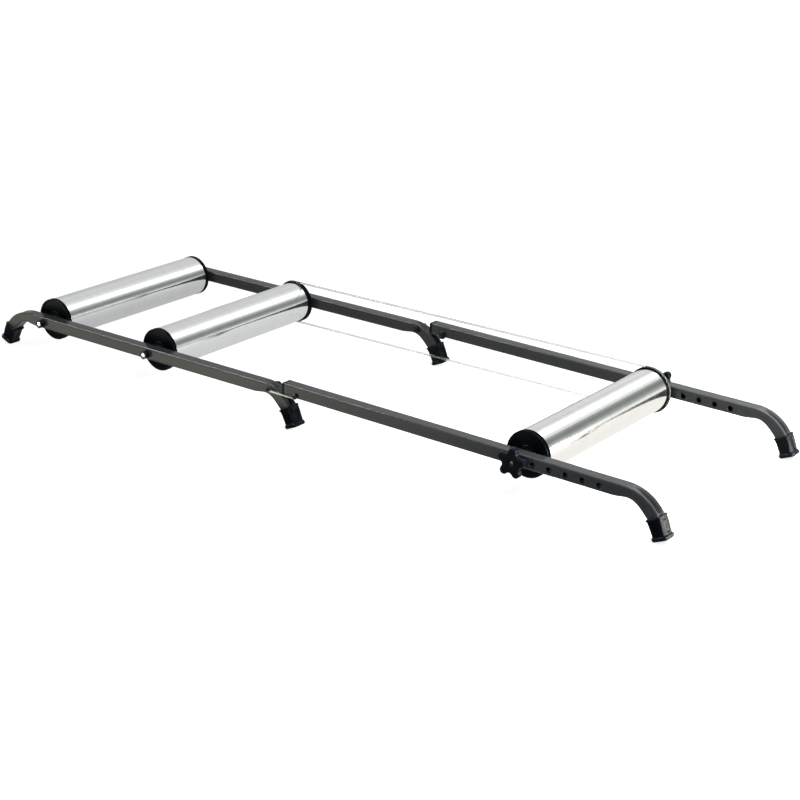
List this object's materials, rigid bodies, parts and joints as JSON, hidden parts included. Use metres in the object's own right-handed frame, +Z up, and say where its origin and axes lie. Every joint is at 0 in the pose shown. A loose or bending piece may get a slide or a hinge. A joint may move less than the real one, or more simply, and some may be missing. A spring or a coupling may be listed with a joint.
{
  "type": "bike rollers",
  "caption": "Folding indoor bike rollers: aluminium drums between bent square-tube rails, with rubber feet, a drive belt and star-knob wheelbase adjusters.",
  "frame": {"origin": "on the floor, midway between the two ends and between the side rails", "axes": "+X towards the single front drum, +Y across to the belt side, +Z up"},
  "size_m": [1.5548, 0.5106, 0.1145],
  "materials": {
    "frame_grey": "satin dark grey coat on steel tube",
    "drum_aluminium": "polished and finely turned",
    "black_plastic": "moulded, satin",
    "foot_rubber": "smooth moulded rubber",
    "zinc_steel": "bright zinc plate",
    "bearing_steel": "blackened rings, rubber seals",
    "axle_steel": "bright drawn bar",
    "black_steel": "black oxide",
    "belt_urethane": "round cord, milky, slightly see-through"
  },
  "bodies": {
    "rear_frame": {"rear_rail_left": "frame_grey", "foot_rear_left": "foot_rubber", "foot_middle_left": "foot_rubber", "rear_axle_nut_left": "black_steel", "middle_axle_nut_left": "black_steel", "rear_spacer_left": "black_steel", "middle_spacer_left": "black_steel", "rear_rail_right": "frame_grey", "foot_rear_right": "foot_rubber", "foot_middle_right": "foot_rubber", "rear_axle_nut_right": "black_steel", "middle_axle_nut_right": "black_steel", "rear_spacer_right": "black_steel", "middle_spacer_right": "black_steel", "rear_axle": "axle_steel", "middle_axle": "axle_steel", "drive_belt": "belt_urethane"},
    "fold_links": {"fold_link_left": "zinc_steel", "fold_bolt_rear_left": "black_steel", "fold_nut_rear_left": "black_steel", "fold_bolt_front_left": "black_steel", "fold_nut_front_left": "black_steel", "fold_link_right": "zinc_steel", "fold_bolt_rear_right": "black_steel", "fold_nut_rear_right": "black_steel", "fold_bolt_front_right": "black_steel", "fold_nut_front_right": "black_steel"},
    "front_frame": {"front_rail_left": "frame_grey", "end_plug_left": "black_plastic", "foot_front_left": "foot_rubber", "front_spacer_left": "black_steel", "front_rail_right": "frame_grey", "end_plug_right": "black_plastic", "foot_front_right": "foot_rubber", "front_spacer_right": "black_steel", "front_axle": "axle_steel"},
    "rear_drum": {"rear_drum_shell": "drum_aluminium", "rear_end_cap_left": "black_plastic", "rear_bearing_left": "bearing_steel", "rear_end_cap_right": "black_plastic", "rear_bearing_right": "bearing_steel"},
    "middle_drum": {"middle_drum_shell": "drum_aluminium", "middle_end_cap_left": "black_plastic", "middle_bearing_left": "bearing_steel", "middle_end_cap_right": "black_plastic", "middle_bearing_right": "bearing_steel"},
    "front_drum": {"front_drum_shell": "drum_aluminium", "front_end_cap_left": "black_plastic", "front_bearing_left": "bearing_steel", "front_end_cap_right": "black_plastic", "front_bearing_right": "bearing_steel"},
    "knob_left": {"star_knob_left": "black_plastic", "knob_insert_left": "zinc_steel"},
    "knob_right": {"star_knob_right": "black_plastic", "knob_insert_right": "zinc_steel"}
  },
  "joints": [
    {"name": "rear_drum_spin", "type": "hinge", "parent": "rear_frame", "child": "rear_drum", "pos_m": [-0.65364, 0, 0.06441], "axis": [0, 1, 0], "continuous": true},
    {"name": "middle_drum_spin", "type": "hinge", "parent": "rear_frame", "child": "middle_drum", "pos_m": [-0.36364, 0, 0.06441], "axis": [0, 1, 0], "continuous": true},
    {"name": "front_fold", "type": "hinge", "parent": "fold_links", "child": "front_frame", "pos_m": [0.00986, 0, 0.06831], "axis": [0, -1, 0], "range_deg": [0, 90], "deforming": ["drive_belt"]},
    {"name": "link_fold", "type": "hinge", "parent": "rear_frame", "child": "fold_links", "pos_m": [-0.05264, 0, 0.06831], "axis": [0, -1, 0], "range_deg": [0, 90], "deforming": ["drive_belt"]},
    {"name": "front_drum_spin", "type": "hinge", "parent": "front_frame", "child": "front_drum", "pos_m": [0.48633, 0, 0.06962], "axis": [0, 1, 0], "continuous": true},
    {"name": "knob_turn_left", "type": "hinge", "parent": "front_frame", "child": "knob_left", "pos_m": [0.48633, 0.2383, 0.06962], "axis": [0, -1, 0], "range_deg": [0, 1440]},
    {"name": "knob_turn_right", "type": "hinge", "parent": "front_frame", "child": "knob_right", "pos_m": [0.48633, -0.2383, 0.06962], "axis": [0, 1, 0], "range_deg": [0, 1440]}
  ],
  "couplings": [
    {"joint": "link_fold", "follows": "front_fold", "ratio": 1},
    {"joint": "front_drum_spin", "follows": "middle_drum_spin", "ratio": 1}
  ]
}
